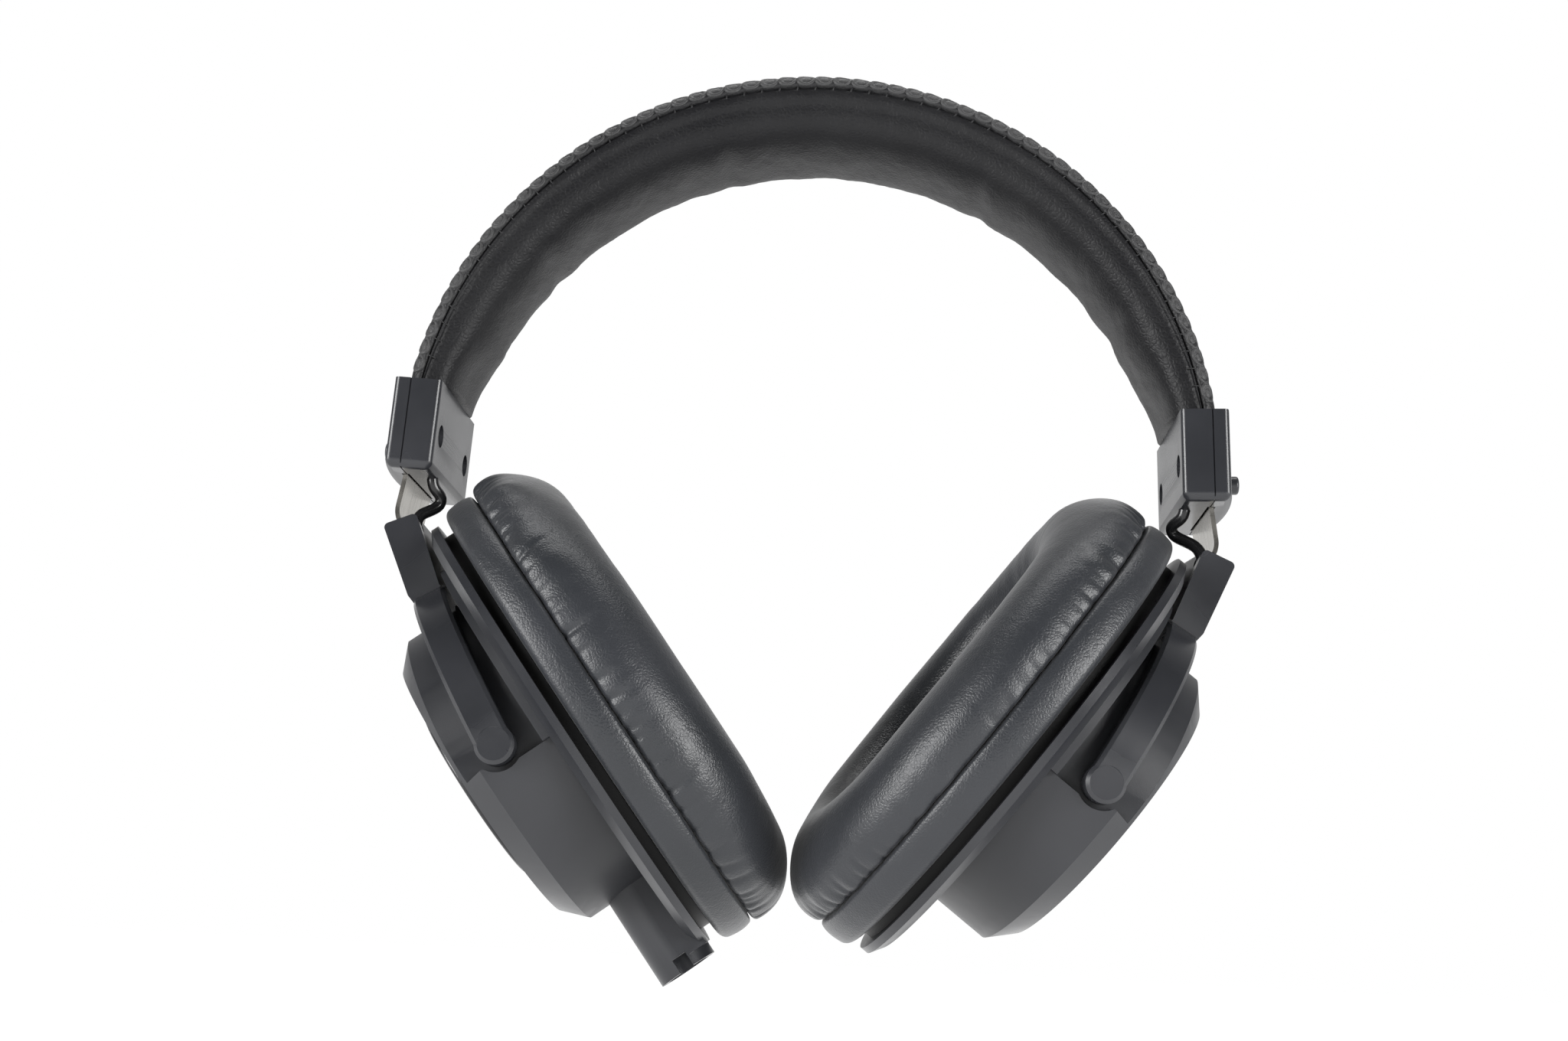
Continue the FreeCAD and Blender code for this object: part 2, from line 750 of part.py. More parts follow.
def magnet_pot():
    return drum(pot_radius, driver_web_out, pot_back).cut(drum(pot_radius - pot_wall, 0, magnet_back))


def magnet():
    return drum(magnet_radius, magnet_front, magnet_back)


def pole_plate():
    return drum(pole_radius, pole_front, magnet_front)


def voice_coil():
    return drum(coil_outer_radius, film_out, coil_back).cut(drum(coil_inner_radius, 0, coil_back + 1))


def diaphragm():
    """A thin film with a dome inside the voice coil."""
    ball = (dome_radius ** 2 + dome_rise ** 2) / (2 * dome_rise)
    ball_centre = Vector(film_out - dome_rise + ball, 0, 0)
    shell = Part.makeSphere(ball, ball_centre).cut(Part.makeSphere(ball - film_thickness, ball_centre))
    dome = shell.common(drum(dome_radius, -3, film_out - film_thickness))
    flat = drum(driver_hole_radius - 0.1, film_out - film_thickness, film_out)
    flat = flat.cut(drum(dome_radius - 1.1, -1, 2))
    return one_solid(flat.fuse(dome))


def grille():
    """A round perforated plate over the driver, in rings of holes."""
    plate = drum(grille_radius, -baffle_thickness - grille_thickness, -baffle_thickness)
    holes = []
    for ring in range(1, grille_rings + 1):
        for i in range(6 * ring):
            a = 2 * math.pi * i / (6 * ring)
            r = grille_pitch * ring
            centre = Vector(-baffle_thickness - 2, r * math.sin(a), r * math.cos(a))
            holes.append(rod(grille_hole_radius, centre, centre + Vector(3, 0, 0)))
    return plate.cut(Part.makeCompound(holes))


def dust_cloth():
    back = -baffle_thickness - grille_thickness
    return oval(inset(pad_opening_half, 0.5), back - cloth_thickness, back)


def terminal_board():
    """A small circuit board on the driver frame's back, with two solder holes."""
    half, back = board_side / 2, driver_back + board_thickness
    board = box(driver_back, back, board_y, board_y + board_side, -half, half)
    for z in (-2, 2):
        hole = Vector(0, board_y + 2, z)
        board = board.cut(rod(0.6, hole, hole + Vector(6, 0, 0)))
    return board


def damping_felt():
    return drum(felt_radius, cavity_out - felt_thickness, cavity_out)


# ---------------------------------------------------------------- both sides and the files

def on_side(shape, side, swivels):
    """A right-hand shape on its side, turned with the yoke if it rides on it."""
    if side == "left":
        shape = mirrored(shape)
    if swivels:
        sign = -1 if side == "left" else 1
        shape.rotate(Vector(sign * root_top.x, 0, root_top.z), Vector(sign * root_up.x, 0, root_up.z),
                     swivel_at_rest[side])
    return shape


def write(name, shape):
    if not shape.isValid():
        print("NOT VALID", name)
    shape.exportStep("parts/%s.step" % name)


def write_side(side):
    fixed = {"block_outer_shell": block_half(True), "block_inner_shell": block_half(False),
             "block_rivet": in_block(block_rivet()), "detent_spring": in_slider(detent_spring()),
             "block_screws": in_block(block_screws()),
             "slider_strip": slider_strip(), "swivel_stud": swivel_stud()}
    for name, shape in fixed.items():
        write("%s_%s" % (side, name), on_side(shape, side, False))
    lead_shape = lead(side)
    write("%s_lead" % side, mirrored(lead_shape) if side == "left" else lead_shape)
    turning = {"yoke": yoke(), "pivot_pins": pivot_pins()}
    cup = {"housing": housing(side), "cover_plate": cover_plate(), "baffle": baffle(),
           "baffle_screws": baffle_screws(), "driver_frame": driver_frame(), "magnet_pot": magnet_pot(),
           "magnet": magnet(), "pole_plate": pole_plate(), "voice_coil": voice_coil(),
           "diaphragm": diaphragm(), "driver_grille": grille(), "dust_cloth": dust_cloth(),
           "terminal_board": terminal_board(), "damping_felt": damping_felt()}
    if side == "left":
        cup["cable_socket"] = socket()
        cup["socket_contact"] = socket_contact()
    for name, shape in cup.items():
        turning[name] = in_cup(shape)
    turning["ear_pad_cover"] = pad_cover()
    turning["ear_pad_foam"] = pad_foam()
    for name, shape in turning.items():
        write("%s_%s" % (side, name), on_side(shape, side, True))


os.makedirs("parts", exist_ok=True)
write("headband_cover", headband_cover())
write("headband_spring", headband_spring())
write("headband_foam", headband_foam())
write("headband_pad_skin", headband_skin())
write("headband_lead", headband_lead())
for side in ("left", "right"):
    write_side(side)
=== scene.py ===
import json
import math

import bmesh
import bpy
from mathutils import Matrix, Vector, noise


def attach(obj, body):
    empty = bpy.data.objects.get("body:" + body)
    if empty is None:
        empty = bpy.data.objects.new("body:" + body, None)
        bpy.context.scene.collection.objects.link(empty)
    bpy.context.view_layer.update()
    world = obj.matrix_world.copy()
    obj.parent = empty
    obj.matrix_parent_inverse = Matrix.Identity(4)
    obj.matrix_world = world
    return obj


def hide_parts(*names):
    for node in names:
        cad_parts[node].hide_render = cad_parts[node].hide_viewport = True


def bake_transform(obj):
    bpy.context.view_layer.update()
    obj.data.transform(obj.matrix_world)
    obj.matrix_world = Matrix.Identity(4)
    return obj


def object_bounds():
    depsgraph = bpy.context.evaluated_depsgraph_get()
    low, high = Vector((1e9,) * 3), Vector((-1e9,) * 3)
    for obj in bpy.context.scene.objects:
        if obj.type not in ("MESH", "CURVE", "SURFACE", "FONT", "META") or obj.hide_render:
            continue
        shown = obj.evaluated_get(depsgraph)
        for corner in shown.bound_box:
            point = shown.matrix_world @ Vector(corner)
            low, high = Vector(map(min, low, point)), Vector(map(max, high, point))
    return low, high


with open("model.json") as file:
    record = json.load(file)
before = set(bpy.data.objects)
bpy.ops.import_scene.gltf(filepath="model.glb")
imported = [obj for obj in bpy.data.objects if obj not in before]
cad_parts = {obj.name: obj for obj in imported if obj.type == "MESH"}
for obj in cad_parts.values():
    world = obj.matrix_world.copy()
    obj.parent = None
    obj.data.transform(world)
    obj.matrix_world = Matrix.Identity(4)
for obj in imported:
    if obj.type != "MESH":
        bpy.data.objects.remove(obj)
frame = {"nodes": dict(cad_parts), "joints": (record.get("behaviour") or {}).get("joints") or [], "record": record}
CAD_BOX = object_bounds()
NODES = frame["nodes"]
SIDES = {"left": -1, "right": 1}
MM = 0.001

# Headband, in millimetres about the arc's centre, which is BAND_RISE under the origin
BAND_RISE = 67.0
BAND_R = 83.0  # the outer face
BAND_HALF = 15.0  # half of its depth, front to back
BLOCK_LEAN = math.radians(2.4)
BLOCK_TOP = (78.7, 13.25)  # the blocks' top edge, as (across, up) before their lean

# The cover's rolled hem: the centre of the roll as (HEM_R, HEM_Y), its radius and the pitch of its stitches
HEM_R = 80.3
HEM_Y = 12.6
HEM_ROUND = 2.55
HEM_TUCK = 0.6
STITCH = 3.75
THREAD_R = 0.17

# The headband's soft pad: its seam's radius, its underside's arc and how far that arc's centre is lowered
SEAM_R = 79.9
BAND_PAD_R = 74.6
BAND_PAD_DROP = 4.3
BAND_PAD_MIDDLE_R = 76.0
BAND_PAD_CORNER = 6.0
BAND_PAD_DEPTH = 8.2
BAND_PAD_FULLNESS = 0.74  # the power of its rounded outline: 1 is an ellipse, less is squarer

# Ear pad, in millimetres in the cup's frame: n outward from the flange's face, s along the tall axis.
# PAD_HALF and PAD_OPEN are half sizes of the outer oval and of the opening, as (tall, deep)
PAD_HALF = (52.0, 42.3)
PAD_OPEN = (30.0, 21.0)
PAD_WALL = 21.3  # the inset from the outer oval at which the outline follows the opening
PAD_MEAN = 47.5  # about the mean radius of the outer oval
PAD_BACK = -2.05
SEAM_N = -9.3
PAD_GAP = 0.02  # how far each pad stays from the middle plane
PRESS_SOFT = 0.15
PRESS_REACH = (0.5, 6.0)  # how near the middle plane the pad starts to be pressed
PRESS_PASSES = 14
NEAR_SLUMP = {"left": 0.0, "right": 0.15}  # how much lower the crown is on the near side
CLOTH_N = -3.05
CLOTH_DOME = 0.35


def from_arc(x, y, rise):
    """A point in millimetres, measured from the headband arc's centre, in the row frame."""
    return Vector((x, y, rise - BAND_RISE)) * MM


# ---------------------------------------------------------------- joints' frames

JOINTS = {j["name"]: j for j in frame["joints"]}


def cup_frame(side):
    """The centre of the flange's front face, and the cup's axes (outward, depth, up), from its CAD meshes."""
    depth = Vector(JOINTS[side + "_tilt"]["axis"]).normalized()
    if depth.y < 0:
        depth = -depth
    centre = node_centre(side + "_baffle")
    out = node_centre(side + "_cover_plate") - centre
    out = (out - depth * out.dot(depth)).normalized()
    up = depth.cross(out)
    up = up if up.z > 0 else -up
    reach = max((v.co - centre).dot(out) for v in NODES[side + "_baffle"].data.vertices)
    return centre + out * reach, out, depth, up


def node_centre(name):
    """The middle of a CAD node's corners, weighted by area so that tessellation doesn't pull it."""
    total, weight = Vector(), 0.0
    for p in NODES[name].data.polygons:
        total += p.center * p.area
        weight += p.area
    return total / weight


# ---------------------------------------------------------------- mesh helpers

def link_mesh(name, mesh):
    """A smooth shaded object for a mesh, linked to the scene."""
    obj = bpy.data.objects.new(name, mesh)
    bpy.context.scene.collection.objects.link(obj)
    for p in mesh.polygons:
        p.use_smooth = True
    return obj


def new_object(name, verts, faces):
    """A smooth shaded object from its points and faces."""
    mesh = bpy.data.meshes.new(name)
    mesh.from_pydata(verts, [], faces)
    mesh.validate()
    return link_mesh(name, mesh)


def grid_faces(rows, cols, close_rows=False, close_cols=False):
    """The quads of a grid of points, joined round on itself where asked."""
    faces = []
    for i in range(rows if close_rows else rows - 1):
        for j in range(cols if close_cols else cols - 1):
            a, b = (i + 1) % rows, (j + 1) % cols
            faces.append((i * cols + j, i * cols + b, a * cols + b, a * cols + j))
    return faces


def outward(obj):
    """Turns the faces of a closed mesh to point out."""
    bm = bmesh.new()
    bm.from_mesh(obj.data)
    bmesh.ops.recalc_face_normals(bm, faces=bm.faces)
    bm.to_mesh(obj.data)
    bm.free()


def fade(x, low, high):
    """0 below low, 1 above high, smooth between."""
    t = min(1.0, max(0.0, (x - low) / (high - low)))
    return t * t * (3 - 2 * t)


def bell(x, width):
    """1 at zero, falling smoothly to nothing over about twice the width."""
    return math.exp(-(x / width) ** 2)


def swept_tube(name, points, radius, sides, per_span):
    """A round tube along a smooth NURBS curve through a short list of control points."""
    curve = bpy.data.curves.new(name + "_path", "CURVE")
    curve.dimensions = "3D"
    spline = curve.splines.new("NURBS")
    spline.points.add(len(points) - 1)
    for p, co in zip(spline.points, points):
        p.co = (*co, 1)
    spline.order_u = 4 if len(points) > 4 else 3
    spline.use_endpoint_u = True
    spline.resolution_u = per_span
    curve.bevel_depth = radius
    curve.bevel_resolution = max(2, sides // 4)
    curve.use_fill_caps = True
    holder = bpy.data.objects.new(name + "_path", curve)
    bpy.context.scene.collection.objects.link(holder)
    mesh = bpy.data.meshes.new_from_object(holder)
    bpy.data.objects.remove(holder)
    return link_mesh(name, mesh)


# ---------------------------------------------------------------- materials

# The part of a noise's range that mottling uses
CLOUD_SPAN = (0.3, 0.7)


def material(name, colour, rough, metallic=0.0, specular=0.5, sheen=0.0):
    """A Principled material with the values that are the same all over, and its tree and shader."""
    mat = bpy.data.materials.new(name)
    mat.use_nodes = True
    tree = mat.node_tree
    shader = tree.nodes["Principled BSDF"]
    values = {"Roughness": rough, "Metallic": metallic, "Specular IOR Level": specular, "Coat Weight": 0.0,
              "Coat Roughness": 0.3, "Sheen Weight": sheen, "Sheen Roughness": 0.4}
    shader.inputs["Base Color"].default_value = (*colour, 1)
    for socket, value in values.items():
        shader.inputs[socket].default_value = value
    return mat, tree, shader


def node(tree, kind, **values):
    """A new node with its sockets' values, or its settings, given by name."""
    n = tree.nodes.new(kind)
    for key, value in values.items():
        if key in n.inputs:
            n.inputs[key].default_value = value
        else:
            setattr(n, key, value)
    return n


def coords(tree, scale=(1, 1, 1)):
    """Object coordinates, which for every piece are the row frame in metres."""
    place = node(tree, "ShaderNodeTexCoord")
    stretch = node(tree, "ShaderNodeMapping")
    stretch.inputs["Scale"].default_value = scale
    tree.links.new(place.outputs["Object"], stretch.inputs["Vector"])
    return stretch.outputs["Vector"]


def noise_tex(tree, vector, scale, detail=3.0, roughness=0.55, distortion=0.0):
    """A cloudy noise of about scale features to the metre."""
    n = node(tree, "ShaderNodeTexNoise", Scale=scale, Detail=detail, Roughness=roughness,
             Distortion=distortion)
    tree.links.new(vector, n.inputs["Vector"])
    return n.outputs["Fac"]


def cells(tree, vector, scale):
    """The distance to the nearest edge of a pattern of cells."""
    n = node(tree, "ShaderNodeTexVoronoi", feature="DISTANCE_TO_EDGE", Scale=scale)
    tree.links.new(vector, n.inputs["Vector"])
    return n.outputs["Distance"]


def ramp(tree, value, low, high, out_low=0.0, out_high=1.0):
    """Maps a value's range from low..high to out_low..out_high, and keeps it there."""
    n = node(tree, "ShaderNodeMapRange", clamp=True)
    n.inputs["From Min"].default_value = low
    n.inputs["From Max"].default_value = high
    n.inputs["To Min"].default_value = out_low
    n.inputs["To Max"].default_value = out_high
    tree.links.new(value, n.inputs["Value"])
    return n.outputs["Result"]


def math_op(tree, op, a, b):
    """One sum of two values, each a number or another node's output."""
    n = node(tree, "ShaderNodeMath", operation=op)
    for socket, value in zip(n.inputs, (a, b)):
        if isinstance(value, (int, float)):
            socket.default_value = value
        else:
            tree.links.new(value, socket)
    return n.outputs["Value"]


def tint(tree, shader, fac, dark, light):
    """A colour that varies between two values."""
    mix = node(tree, "ShaderNodeMix", data_type="RGBA")
    mix.inputs["A"].default_value = (*dark, 1)
    mix.inputs["B"].default_value = (*light, 1)
    tree.links.new(fac, mix.inputs["Factor"])
    tree.links.new(mix.outputs["Result"], shader.inputs["Base Color"])


def bumps(tree, shader, layers):
    """Height layers of (value, strength, distance in metres), one on top of another."""
    normal = None
    for value, strength, distance in layers:
        n = node(tree, "ShaderNodeBump")
        n.inputs["Strength"].default_value = strength
        n.inputs["Distance"].default_value = distance
        tree.links.new(value, n.inputs["Height"])
        if normal is not None:
            tree.links.new(normal, n.inputs["Normal"])
        normal = n.outputs["Normal"]
    tree.links.new(normal, shader.inputs["Normal"])


def worn_edges(tree, low, high):
    """1 along convex edges and 0 on flat faces."""
    n = node(tree, "ShaderNodeNewGeometry")
    return ramp(tree, n.outputs["Pointiness"], low, high)


def plastic(name, dark, light, rough, grain=0.00003, specular=0.5):
    """Moulded plastic with a fine spark-eroded texture, slight mottling and polished edges."""
    mat, tree, shader = material(name, dark, rough, specular=specular)
    v = coords(tree)
    texture = noise_tex(tree, v, scale=5200, detail=2.0)
    swell = noise_tex(tree, v, scale=130, detail=2.0)
    cloud = noise_tex(tree, v, scale=42)
    tint(tree, shader, ramp(tree, cloud, *CLOUD_SPAN), dark, light)
    worn = math_op(tree, "MULTIPLY", worn_edges(tree, 0.51, 0.56), -0.12)
    patchy = ramp(tree, cloud, *CLOUD_SPAN, rough - 0.05, rough + 0.05)
    tree.links.new(math_op(tree, "ADD", patchy, worn), shader.inputs["Roughness"])
    bumps(tree, shader, [(texture, 0.35, grain), (swell, 0.10, 0.0001)])
    return mat


def leather(name, dark, light, rough, pore=1500, depth=0.00006, crease=0.35, sheen=0.15, specular=0.5):
    """Coated leatherette: a pebbled grain, fine creases and a soft uneven gloss."""
    mat, tree, shader = material(name, dark, rough, specular=specular, sheen=sheen)
    v = coords(tree)
    bend = node(tree, "ShaderNodeVectorMath", operation="MULTIPLY_ADD")
    warp = node(tree, "ShaderNodeTexNoise", Scale=300.0, Detail=2.0)
    tree.links.new(v, warp.inputs["Vector"])
    tree.links.new(warp.outputs["Color"], bend.inputs[0])
    bend.inputs[1].default_value = (0.0008,) * 3
    tree.links.new(v, bend.inputs[2])
    pebble = ramp(tree, cells(tree, bend.outputs["Vector"], pore), 0.0, 0.28)
    fine = noise_tex(tree, v, scale=3600, detail=2.0)
    wrinkle = noise_tex(tree, v, scale=210, detail=4.0, roughness=0.62, distortion=1.2)
    cloud = noise_tex(tree, v, scale=30)
    tint(tree, shader, ramp(tree, cloud, *CLOUD_SPAN), dark, light)
    tree.links.new(ramp(tree, cloud, 0.25, 0.75, rough - 0.06, rough + 0.07), shader.inputs["Roughness"])
    bumps(tree, shader, [(pebble, 0.45, depth), (fine, 0.25, depth * 0.5), (wrinkle, crease, 0.00035)])
    return mat


def steel(name, colour, rough, streak=(1, 1, 1)):
    """Bare steel with slightly uneven colour and fine lines, drawn out where streak is small."""
    mat, tree, shader = material(name, colour, rough, metallic=1.0)
    lines = noise_tex(tree, coords(tree, streak), scale=1800)
    cloud = noise_tex(tree, coords(tree), scale=90)
    tint(tree, shader, ramp(tree, cloud, *CLOUD_SPAN), [c * 0.82 for c in colour], colour)
    tree.links.new(ramp(tree, lines, *CLOUD_SPAN, rough - 0.08, rough + 0.10), shader.inputs["Roughness"])
    bumps(tree, shader, [(lines, 0.05, 0.00001)])
    return mat


def woven(name, dark, light, pitch=0.0009):
    """A fine knitted speaker cloth."""
    mat, tree, shader = material(name, dark, 0.85, specular=0.25, sheen=0.3)
    v = coords(tree)
    waves = []
    for way in ("Y", "Z"):
        wave = node(tree, "ShaderNodeTexWave", wave_type="BANDS", bands_direction=way,
                    Scale=1.0 / pitch / 6.28, Distortion=0.6)
        tree.links.new(v, wave.inputs["Vector"])
        waves.append(wave.outputs["Fac"])
    weave = math_op(tree, "MULTIPLY", *waves)
    tint(tree, shader, weave, dark, light)
    bumps(tree, shader, [(weave, 0.6, 0.00012)])
    return mat


def plain_with_grain(name, colour, rough, metallic=0.0, scale=900, depth=0.00004):
    """A single colour with slight mottling and a fine grain."""
    mat, tree, shader = material(name, colour, rough, metallic=metallic)
    v = coords(tree)
    cloud = noise_tex(tree, v, scale * 0.06)
    dark, light = [c * 0.75 for c in colour], [min(1, c * 1.15) for c in colour]
    tint(tree, shader, ramp(tree, cloud, *CLOUD_SPAN), dark, light)
    tree.links.new(ramp(tree, cloud, *CLOUD_SPAN, rough - 0.06, rough + 0.06), shader.inputs["Roughness"])
    bumps(tree, shader, [(noise_tex(tree, v, scale), 0.3, depth)])
    return mat


MATS = {
    "frame_plastic": plastic("frame_plastic", (0.021, 0.022, 0.025), (0.028, 0.029, 0.033), rough=0.36),
    "cup_plastic": plastic("cup_plastic", (0.020, 0.021, 0.024), (0.027, 0.028, 0.032), rough=0.42,
                           grain=0.00004),
    "plate_plastic": plastic("plate_plastic", (0.014, 0.014, 0.016), (0.018, 0.019, 0.021), rough=0.30),
    # inner_plastic is near black and dull, far darker than the other plastics: painted shade, so that the baffle's
    # rim in the gap between the flange and the pad's skirt reads as shadow
    "inner_plastic": plastic("inner_plastic", (0.003, 0.003, 0.003), (0.005, 0.005, 0.005), rough=0.6,
                             specular=0.2),
    "band_leatherette": leather("band_leatherette", (0.010, 0.010, 0.011), (0.016, 0.016, 0.017), rough=0.46,
                                pore=900, depth=0.00010, sheen=0.0, specular=0.35),
    "hem_leatherette": leather("hem_leatherette", (0.022, 0.022, 0.023), (0.040, 0.040, 0.041), rough=0.52,
                               pore=2600, depth=0.00006, crease=0.5),
    "pad_leatherette": leather("pad_leatherette", (0.018, 0.020, 0.023), (0.025, 0.027, 0.032), rough=0.37),
    "band_pad_leatherette": leather("band_pad_leatherette", (0.007, 0.007, 0.008), (0.012, 0.012, 0.013),
                                    rough=0.45, pore=1150, depth=0.00009, crease=0.5, sheen=0.0,
                                    specular=0.22),
    "bright_steel": steel("bright_steel", (0.50, 0.48, 0.44), rough=0.22, streak=(0.05, 1, 0.05)),
    "screw_steel": steel("screw_steel", (0.30, 0.30, 0.31), rough=0.35),
    "dark_steel": plain_with_grain("dark_steel", (0.05, 0.05, 0.055), rough=0.4, metallic=0.8),
    "magnet": plain_with_grain("magnet", (0.25, 0.25, 0.27), rough=0.35, metallic=0.9),
    "copper": plain_with_grain("copper", (0.75, 0.42, 0.25), rough=0.3, metallic=1.0),
    "film": plain_with_grain("film", (0.55, 0.55, 0.52), rough=0.2),
    "cloth": woven("cloth", (0.010, 0.010, 0.011), (0.035, 0.035, 0.037)),
    "circuit_board": plain_with_grain("circuit_board", (0.03, 0.16, 0.07), rough=0.4),
    "felt": plain_with_grain("felt", (0.20, 0.20, 0.20), rough=0.95, scale=1500, depth=0.0003),
    "foam": plain_with_grain("foam", (0.05, 0.05, 0.05), rough=0.95, scale=1100, depth=0.0003),
    "lead_jacket": plain_with_grain("lead_jacket", (0.012, 0.012, 0.013), rough=0.22),
    "thread": plain_with_grain("thread", (0.010, 0.010, 0.011), rough=0.6, scale=4000, depth=0.0001),
}


def paint(obj, slot_name, mat=None):
    """Gives a piece one material: mat where it is given, else the material of the record's slot slot_name."""
    obj.data.materials.clear()
    obj.data.materials.append(MATS[mat or slot_name])


def paint_cad_nodes():
    """Gives each CAD piece the material of its slot in the record."""
    for row in frame["record"]["subparts"]:
        obj = NODES[row["node"]]
        obj.data.materials.clear()
        obj.data.materials.append(MATS[row["material_slot"]])


# ---------------------------------------------------------------- headband

def end_angle(radius):
    """The angle from the top at which a radius meets the block's top plane."""
    level = BLOCK_TOP[1] * math.cos(BLOCK_LEAN) - BLOCK_TOP[0] * math.sin(BLOCK_LEAN)
    return math.acos(level / radius) - BLOCK_LEAN


def band_point(radius, y, angle):
    """A point of the headband, by its radius and depth in millimetres and its angle from the top."""
    return from_arc(radius * math.sin(angle), y, radius * math.cos(angle))


def hem_point(turn, proud=0.0):
    """A point of the rolled hem, as (radius, depth): turn 0 is its front end, 1 its end on the outer face."""
    a = math.radians(8 + 74 * turn)
    return HEM_R + (HEM_ROUND + proud) * math.sin(a), -HEM_Y - (HEM_ROUND + proud) * math.cos(a)


def stitch_count():
    """How many stitches fit between the top of the arc and one end."""
    return int(end_angle(HEM_R) * HEM_R / STITCH - 0.3)


def strip_object(name, verts, around, steps):
    """A closed strip along the band, from steps + 1 rings of points with a flat face at each end."""
    faces = grid_faces(steps + 1, around, close_cols=True)
    faces += [tuple(range(around)), tuple(reversed(range(steps * around, steps * around + around)))]
    obj = new_object(name, verts, faces)
    outward(obj)
    return obj


def headband_cover():
    """The outer leatherette strip with its rolled hem along both edges."""
    hem_steps, face_steps, length_steps = 9, 22, 460
    face_crown, uneven, stitch_pull, pull_width = 0.3, 0.15, 0.12, 4.0
    hem_tail = [(1.0, -HEM_TUCK), (0.75, 0.9), (0.4, 1.75)]
    section = [(HEM_R - inward, -HEM_Y - forward) for inward, forward in hem_tail]
    section += [hem_point(k / hem_steps) for k in range(hem_steps + 1)]
    for k in range(1, face_steps // 2 + 1):
        y = -(HEM_Y - HEM_TUCK) * (1 - 2 * k / face_steps)
        section.append((BAND_R + face_crown * (1 - (y / BAND_HALF) ** 2), y))
    section += [(r, -y) for r, y in reversed(section[:-1])]
    verts = []
    for i in range(length_steps + 1):
        u = 2 * i / length_steps - 1
        for r, y in section:
            angle = u * end_angle(r)
            gathered = bell(abs(y) - HEM_Y, pull_width) * abs(math.sin(angle * HEM_R / STITCH * math.pi))
            swell = noise.noise(Vector((angle * 9, y * 0.09, 3.1)))
            wave = uneven * swell + stitch_pull * (gathered - 0.5)
            verts.append(band_point(r + wave, y, angle))
    obj = strip_object("headband_cover_leather", verts, len(section), length_steps)
    paint(obj, "band_leatherette")
    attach(obj, "headband")
    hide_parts("headband_cover")


# One link of the hem, as rings from its middle outwards: (share of its half size, height in millimetres)
LINK_RINGS = [(0.0, 0.16), (0.22, 0.15), (0.42, 0.08), (0.52, -0.02), (0.60, 0.10), (0.74, 0.30),
              (0.88, 0.24), (0.97, 0.06), (1.04, -0.28)]


def headband_links():
    """The hem's chain: a row of small oval links of rolled leatherette, one at each stitch."""
    around, verts, faces = 22, [], []
    half_len, half_wide, middle_turn = 0.56 * STITCH, 0.5, 0.42
    count = stitch_count()
    for face in (-1, 1):
        for k in range(-count, count + 1):
            centre = k * STITCH / HEM_R
            jitter = noise.noise(Vector((k * 3.7, face * 2.0, 0.5)))
            slant = 0.16 + 0.06 * jitter
            first = len(verts)
            for j, (rho, rise) in enumerate(LINK_RINGS):
                for m in range(around if j else 1):
                    a = 2 * math.pi * m / around
                    along, across = rho * math.cos(a), rho * math.sin(a)
                    lift = rise * (1 + 0.25 * jitter) + 0.16 * along * face
                    crease = 0.05 * noise.noise(Vector((along * 5 + k, across * 5, face * 3.0)))
                    turn = middle_turn + half_wide * (across * (1 - 0.18 * jitter) + slant * along)
                    r, y = hem_point(turn, lift + crease)
                    verts.append(band_point(r, y * -face, centre + along * half_len / HEM_R))
            for m in range(around):
                faces.append((first, first + 1 + m, first + 1 + (m + 1) % around))
            for j in range(1, len(LINK_RINGS) - 1):
                for m in range(around):
                    p, q = first + 1 + (j - 1) * around, first + 1 + j * around
                    w = (m + 1) % around
                    faces.append((p + m, q + m, q + w, p + w))
    obj = new_object("headband_hem_links", verts, faces)
    outward(obj)
    paint(obj, "band_leatherette", "hem_leatherette")
    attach(obj, "headband")


def headband_stitches():
    """The thread that pulls each link to the front face, just under the hem."""
    pieces = []
    count = stitch_count()
    for face in (-1, 1):
        for k in range(-count, count):
            a = (k + 0.5) * STITCH / HEM_R
            low = 1.5 + 0.35 * noise.noise(Vector((k * 1.9, face, 0)))
            route = [(HEM_R + 1.3, HEM_Y + 1.75, a + 0.004), (HEM_R + 0.1, HEM_Y + 2.1, a + 0.002),
                     (HEM_R - 0.5 * low, BAND_HALF + 0.26, a), (HEM_R - low, BAND_HALF - 0.1, a - 0.002)]
            path = [band_point(r, y * face, t) for r, y, t in route]
            pieces.append(swept_tube("stitch", path, THREAD_R * MM, sides=8, per_span=4))
    obj = join(pieces, "headband_stitches")
    paint(obj, "band_leatherette", "thread")
    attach(obj, "headband")


def join(pieces, name):
    """One object from several, with their meshes run together."""
    bm = bmesh.new()
    for p in pieces:
        p.data.transform(p.matrix_world)
        bm.from_mesh(p.data)
        bpy.data.objects.remove(p)
    mesh = bpy.data.meshes.new(name)
    bm.to_mesh(mesh)
    bm.free()
    return link_mesh(name, mesh)


# Folds across the headband pad: angle from the top in degrees, depth and half width in millimetres
BAND_FOLDS = [(-66, 0.5, 3.0), (-52.6, 1.5, 2.4), (-44, 0.5, 4.0), (-33, 0.5, 3.6), (-24.5, 0.6, 3.4),
              (-16.6, 1.4, 2.0), (-8, 0.4, 3.2), (0, 0.35, 4.0), (9, 0.45, 3.2), (18, 0.4, 3.2),
              (28.7, 1.2, 2.0), (39, 0.6, 3.6), (50, 0.5, 4.0), (61.3, 1.3, 2.4), (70, 0.5, 3.0)]


